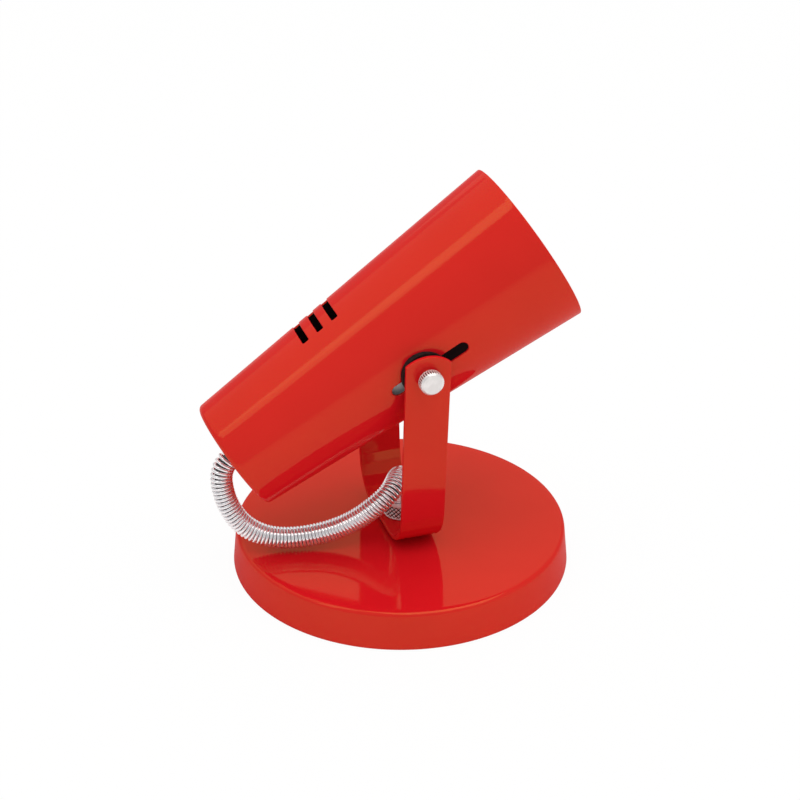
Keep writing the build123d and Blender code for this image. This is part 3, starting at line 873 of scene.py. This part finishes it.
def along(outline, spacing):
    """An outline with extra points, about spacing apart along it, for a tree to move."""
    fine = []
    for a, b in zip(outline, outline[1:] + outline[:1]):
        fine += stepped(a, b, abs(b[0] - a[0]), spacing)
    return fine


# %% [markdown]
# ### Ferrules
#
# Two alike: one stands on the bracket's plate, its twin sits behind the lampholder's carrier inside
# the head. Each has a socket for the conduit at one end and a threaded bore for the stem at the
# other, with a diamond knurl to turn it by.


# %% Ferrules
def ferrule(name, body, node, place):
    """A knurled drum with a threaded bore at its foot and a socket for the conduit on top."""
    outer, height, socket, bore, neck = 6.4, 6.5, 4.35, 5.0, 3.05
    bore_depth, plain_edge = 3.2, 0.55
    outline = rounded(
        [
            (0, bore, 0.2),
            (0, outer, 0.8),
            (height, outer, 0.8),
            (height, socket, 0.25),
            (ferrule_socket, socket, 0),
            (ferrule_socket, neck, 0),
            (bore_depth, neck, 0),
            (bore_depth, bore, 0),
        ],
        steps=4,
    )
    drum = turned(name, along(outline, 0.14), segments=288)
    values = {
        "Waves Round": 22.0,
        "Climb Per Metre": 547.0,
        "Crossed": 1.0,
        "Depth": 0.48 * MM,
        "Start": plain_edge * MM,
        "End": (height - plain_edge) * MM,
        "Outside": (outer - 0.5) * MM,
        "Material": knurled,
    }
    drum = grow(drum, ripple, values)
    return shown(drum, knurled, body, [node], place, edge=40)


on_plate = Matrix.Translation((0, 0, (plate_bottom + strip_thickness) * MM)) @ UPRIGHT
ferrule("lower_ferrule", "bracket_arm", "base_ferrule", on_plate)
in_head = HEAD @ Matrix.Translation((upper_ferrule_at * MM, 0, 0)) @ Matrix.Rotation(pi, 4, "Z")
ferrule("upper_ferrule", "carrier", "head_ferrule", in_head)

# %% [markdown]
# ### Thumb screws
#
# A short drum with a straight knurl, a plain collar against the arm, a bevelled face with fine turning
# marks, and a threaded shank that runs through arm, washer, slot and ear into the nut.


# %% Thumb screws
def thumb_screw(name, body, node, side):
    """A clamp screw that lies along X, turned to its side of the head."""
    collar_at, tip = arm_outer + 0.35, 19.5
    knob = collar_at + 1.1
    end = knob + 3.5
    shank, collar, drum, thread_pitch = 1.95, 3.4, 4.4, 0.7
    outline = rounded(
        [
            (tip, 0, 0),
            (tip, shank, 0.35),
            (collar_at, shank, 0),
            (collar_at, collar, 0.2),
            (knob, collar, 0),
            (knob, drum, 0.35),
            (end - 0.85, drum, 0.3),
            (end, 3.6, 0.25),
            (end, 0, 0),
        ],
        steps=4,
    )
    screw = turned(name, along(outline, 0.18), segments=256)
    knurl = {
        "Waves Round": 30.0,
        "Depth": 0.24 * MM,
        "Round Wave": 1.0,
        "Start": (knob + 0.1) * MM,
        "End": (end - 0.5) * MM,
        "Outside": 4.0 * MM,
        "Material": knurled,
    }
    thread = {
        "Waves Round": 1.0,
        "Climb Per Metre": 1 / (thread_pitch * MM),
        "Depth": 0.3 * MM,
        "Start": tip * MM,
        "End": (collar_at - 0.6) * MM,
        "Outside": 1.7 * MM,
        "Round Wave": 1.0,
        "Material": knurled,
    }
    screw = grow(grow(screw, ripple, thread), ripple, knurl)
    place = Matrix.Translation((0, 0, pivot_height * MM)) @ Matrix.Rotation(side * pi / 2, 4, "Z")
    return shown(screw, knurled, body, [node], place, edge=40)


thumb_screw("left_thumb_screw", "left_screw", "thumb_screw_left", -1)
thumb_screw("right_thumb_screw", "right_screw", "thumb_screw_right", 1)

# %% [markdown]
# ### Spring conduit
#
# One long wire wound into a close spring. The tree samples the route finely, walks round it at coil
# radius while it moves along, and sweeps a round wire on the result. The spring is tight where it
# stands on its ferrule and a little stretched towards the head, from Near Pitch to Far Pitch. In a
# bend the turns crowd on the inside, so the pitch along the middle grows with the curvature, by the
# factor Most Fanned at most, and the turns fan open on the outside.

# %% Spring tree
spring, source = geometry_tree(
    "spring",
    {
        "Coil Radius": 3.57 * MM,
        "Wire Radius": 0.62 * MM,
        "Near Pitch": 1.06 * MM,
        "Far Pitch": 1.57 * MM,
        "Most Fanned": 1.02,
        "Steps Per Turn": 20.0,
    },
)
route_curve = source.out("Geometry")
route_length = spring.add("GeometryNodeCurveLength", inputs={"Curve": route_curve})
count = (route_length / source.out("Near Pitch") * source.out("Steps Per Turn")).math("ROUND")
fine = spring.add(
    "GeometryNodeResampleCurve", {"mode": "COUNT"}, {"Curve": route_curve, "Count": count}
)
fine = spring.add("GeometryNodeSetCurveNormal", inputs={"Curve": fine})
tangent = spring.add("GeometryNodeInputTangent")
normal = spring.add("GeometryNodeInputNormal")
index = spring.add("GeometryNodeInputIndex")
step = route_length / (count - 1)
reach = 8  # samples to either side, between which the curvature is measured
closest = 2.06  # wire radii from turn to turn on the inside of a bend
ends = [
    spring.add(
        "GeometryNodeFieldAtIndex", {"data_type": "FLOAT_VECTOR"}, {"Index": place, "Value": tangent}
    )
    for place in ((index + reach).math("MINIMUM", count - 1), (index - reach).math("MAXIMUM", 0.0))
]
curvature = spring.vector("DISTANCE", *ends, output=1) / (step * (2 * reach))
curvature = spring.add("GeometryNodeBlurAttribute", inputs={"Value": curvature, "Iterations": 24})
tightest = source.out("Wire Radius") * closest / (1 - curvature * source.out("Coil Radius"))
relaxed = source.out("Near Pitch") + (source.out("Far Pitch") - source.out("Near Pitch")) * (index / count)
pitch = tightest.math("MAXIMUM", relaxed).math("MINIMUM", relaxed * source.out("Most Fanned"))
turns = spring.add("GeometryNodeAccumulateField", inputs={"Value": step / pitch}, output="Trailing")
angle = turns * (2 * pi)
one_way = spring.scaled(normal, angle.math("COSINE"))
other_way = spring.scaled(spring.vector("CROSS_PRODUCT", tangent, normal), angle.math("SINE"))
offset = spring.scaled(spring.vector("ADD", one_way, other_way), source.out("Coil Radius"))
coil = spring.add("GeometryNodeSetPosition", inputs={"Geometry": fine, "Offset": offset})
section = spring.add(
    "GeometryNodeCurvePrimitiveCircle", inputs={"Resolution": 10, "Radius": source.out("Wire Radius")}
)
wire = spring.add(
    "GeometryNodeCurveToMesh", inputs={"Curve": coil, "Profile Curve": section, "Fill Caps": True}
)
close_tree(spring, wire, source.out("Material"))

conduit = grow(conduit_line, spring, {"Material": chrome_wire})
conduit.name = "spring_wire"
shown(conduit, chrome_wire, ("bracket_arm", "carrier"), ["spring_conduit"], edge=60)

# %% [markdown]
# ### Leads
#
# Grey flex with a smooth sheath runs inside the conduit into the back of the lampholder. The short
# length from the stem to the terminals keeps its CAD shape and gets the same finish below.


# %% Leads
def lead(name, points, body, node):
    """A round lead along a route, which ends inside the object."""
    line = route(name + "_line", points)
    path, length = line_of(line)
    bpy.data.objects.remove(line)
    made = baked(route(name, points, 2.5))
    shown(made, flex_grey, body, [node], edge=60)
    print(name, round(length / MM, 1), "mm")


lead("head_flex", head_lead_points, ("bracket_arm", "carrier"), "head_lead")

# %% [markdown]
# ### Lampholder
#
# Glazed porcelain with a neck, a sloped shoulder and a deep well. The brass shell inside is rolled
# with the coarse round thread that lamps use, seven turns to the inch, so it takes the ripple tree
# with one wave, a small climb and a round profile; inside and outside move together because it's sheet.

# %% Lampholder
holder_back, holder_floor, holder_mouth = -49.25, -33.25, -4.25
neck, holder_radius, well, bore = 12.5, 17.5, 14.3, 5.0
shell_outer, shell_inner, lamp_pitch = 14.1, 13.3, 3.63
body_outline = rounded(
    [
        (holder_back, bore, 0.3),
        (holder_back, neck, 0.6),
        (holder_back + 9, neck, 1.0),
        (holder_back + 14, holder_radius, 2.0),
        (holder_mouth, holder_radius, 1.2),
        (holder_mouth, well, 0.8),
        (holder_floor, well, 0.8),
        (holder_floor, bore, 0.3),
    ]
)
shown(turned("lampholder", body_outline), porcelain, "carrier", ["lampholder_body"], HEAD)

ends = (holder_floor + 4.5, holder_mouth - 1.5)
shell_corners = [(ends[0], shell_inner, 0.2), (ends[0], shell_outer, 0.2)]
shell_corners += [(ends[1], shell_outer, 0.2), (ends[1], shell_inner, 0.2)]
shell = grow(
    turned("thread_shell", along(rounded(shell_corners), 0.3), segments=120),
    ripple,
    {
        "Waves Round": 1.0,
        "Climb Per Metre": 1 / (lamp_pitch * MM),
        "Depth": 0.45 * MM,
        "Start": (ends[0] + 0.75) * MM,
        "End": (ends[1] - 0.85) * MM,
        "Run Out": 1.2 * MM,
        "Outside": 10.0 * MM,
        "Round Wave": 1.0,
        "Material": brass,
    },
)
shown(shell, brass, "carrier", ["screw_shell"], HEAD, edge=50)

# %% [markdown]
# ### Screws with a cross or a slot
#
# Small fasteners repeat, so each kind is modelled once and a tree copies it to a set of points. A
# head is a turned outline; its recess is cut by one or two bars.

# %% Copy tree
copies, source = geometry_tree("copies", {}, [("Piece", "Object")])
piece = copies.add("GeometryNodeObjectInfo", inputs={"Object": source.out("Piece")}, output="Geometry")
placed = copies.add(
    "GeometryNodeInstanceOnPoints", inputs={"Points": source.out("Geometry"), "Instance": piece}
)
close_tree(copies, placed, source.out("Material"))


def screw(name, head_radius, head_height, shank_radius, shank_length, bars):
    """A pan-head screw whose head sits on x = 0 and points along X."""
    outline = rounded(
        [
            (-shank_length, 0, 0),
            (-shank_length, shank_radius, 0.2),
            (0, shank_radius, 0),
            (0, head_radius, 0.15),
            (head_height, head_radius, head_height * 0.6),
            (head_height, 0, 0),
        ]
    )
    made = turned(name, outline, segments=40)
    for number in range(bars):
        bpy.ops.mesh.primitive_cube_add(size=1)
        bar = bpy.context.object
        bar.scale = Vector((head_height * 1.1, head_radius * 1.25, 0.5)) * MM
        bar.rotation_euler.x = number * pi / 2
        bar.location.x = head_height * MM
        bpy.context.view_layer.update()
        cut = made.modifiers.new("recess", "BOOLEAN")
        cut.operation = "DIFFERENCE"
        cut.object = bar
        made = baked(made)
        bpy.data.objects.remove(bar)
    return made


def copied(name, piece, points, material, body, node, place):
    """Copies of a piece, which still lies along X, at points of its own frame."""
    seeds = mesh_object(name, points, [])
    made = grow(seeds, copies, {"Piece": piece, "Material": material})
    bpy.data.objects.remove(piece)
    return shown(made, material, body, [node], place)


# %% [markdown]
# The cover's three screws point down, the terminals' six point up and the lampholder's two point
# forward, so each set is copied in its own frame and then turned into place.

# %% Screws
DOWNWARD = Matrix.Rotation(pi / 2, 4, "Y")
circle = [radians(-90 + 120 * k) for k in range(3)]
cover_screw = screw("cover_screw", 2.9, 1.4, 1.45, 7.1, bars=2)
head_seat, screw_circle = -1.7, 36
places = [(head_seat, screw_circle * sin(a), screw_circle * cos(a)) for a in circle]
copied("cover_screw_set", cover_screw, places, zinc, "base", "cover_screws", DOWNWARD)

terminal_screw = screw("terminal_screw", 1.65, 1.2, 1.2, 0.7, bars=1)
block_top, first_row, row_pitch, way_pitch = 8.667, 24.5, 7, 9.333
places = [(block_top, first_row + row_pitch * k, way_pitch * way) for k in range(2) for way in (-1, 0, 1)]
copied("terminal_screw_set", terminal_screw, places, zinc, "base", "terminal_screws", UPRIGHT)

contact_screw = screw("contact_screw", 2.6, 1.5, 1.45, 3.4, bars=1)
places = [(holder_floor + 0.5, 8.5 * side, 0) for side in (-1, 1)]
copied("contact_screw_set", contact_screw, places, brass, "carrier", "contact_screws", HEAD)

# %% [markdown]
# ### Pieces whose CAD shape is right
#
# The rest is plain turned or bent metal and plastic. Those CAD pieces stay, and only get their finish.

# %% CAD pieces
finishes = {
    "ballast_weight": cast_iron,
    "base_lead": flex_grey,
    "bottom_cover": zinc,
    "foot_pad": foam,
    "cable_grommet": rubber,
    "terminal_block": nylon,
    "hollow_stem": nickel,
    "lock_washer": zinc,
    "lock_nut": nickel,
    "swivel_spacer": fibre,
    # the carrier's near-white finish is a painted reflection
    "lampholder_carrier": bright_zinc,
    "holder_nipple": nickel,
    "centre_contact": brass,
    "inner_washers": zinc,
    "clamp_nuts": zinc,
    "friction_washers": fibre,
}
for node, material in finishes.items():
    obj = frame["nodes"][node]
    if not obj.material_slots:
        obj.data.materials.append(material)
    for place in obj.material_slots:
        place.material = material
print("finished CAD pieces:", len(finishes))

# %% [markdown]
# ## Floor and surround
#
# A pale floor runs out into a white surround. The surround looks white to the camera, lights matt
# surfaces evenly, and is dimmer in mirror-like reflections, so gloss paint keeps its colour.

# %% Floor and surround
bpy.ops.mesh.primitive_plane_add(size=6)
floor = bpy.context.object
floor.name = "floor"
floor_white, matt_light, mirror_loss = 0.96, 0.63, 0.08
floor_material, tree, shader = finish("floor", {"Base Color": (0.93, 0.93, 0.93, 1), "Roughness": 0.7})
seen = tree.add("ShaderNodeLightPath", output="Is Camera Ray")
white = tree.add("ShaderNodeEmission", inputs={"Color": (1, 1, 1, 1), "Strength": 1.0})
mix_in(tree, shader, seen * floor_white, white)
floor.data.materials.append(floor_material)
world = bpy.data.worlds.new("surround")
world.use_nodes = True
tree = Tree(world.node_tree)
seen = tree.add("ShaderNodeLightPath", output="Is Camera Ray")
background = world.node_tree.nodes["Background"]
strength = matt_light + seen * (1 - matt_light) - seen.out("Is Glossy Ray") * mirror_loss
tree.feed(background.inputs["Strength"], strength)
background.inputs["Color"].default_value = (1, 1, 1, 1)
scene.world = world
scene.view_settings.view_transform = "Standard"
print("surround ready")

# %% [markdown]
# ## Lights
#
# Soft lights at plain levels: a broad one above, one from the front right, where no gloss face shows
# it to the camera, a broad one behind the head that gives its upper side a sheen, a low one behind
# that does the same for the foot, and a narrow strip above that draws the thin highlight down the
# head. The strip is slanted, so that the highlight closes in on the top of the head towards the mouth.


# %% Lights
def soft_light(name, place, target, size, power, colour=(1, 1, 1), long_side=(1, 0, 0)):
    """A rectangular area light at place, facing target, in metres and watts."""
    data = bpy.data.lights.new(name, "AREA")
    data.shape = "RECTANGLE"
    data.size, data.size_y = size
    data.energy = power
    data.color = colour
    made = new_object(name, data)
    back = (Vector(place) - Vector(target)).normalized()
    up = back.cross(Vector(long_side)).normalized()
    turn = Matrix((up.cross(back), up, back)).transposed().to_4x4()
    made.matrix_world = Matrix.Translation(place) @ turn


daylight = (1, 0.95, 0.88)
soft_light("side", (1.3, -1.1, 0.8), (0, 0, 0.08), (1.4, 1.4), 0.8)
soft_light("top", (0.35, -0.35, 1.65), (0, 0, 0.05), (1.4, 1.4), 12.5, daylight)
soft_light("back", (-0.92, 0.74, 1.5), (0, 0, 0.1), (1.6, 2.5), 5.6, daylight, head_line)
soft_light("backdrop", (0.51, 1.56, 0.97), (0, 0, 0.02), (1.8, 1.1), 2.7)
slanted = head_line * 0.9 + Vector((0, 0.45, 0))
soft_light("strip", (-0.83, -0.13, 1.45), (0, 0, 0.09), (1.3, 0.34), 1.6, long_side=slanted)
print("lights:", len(bpy.data.lights))
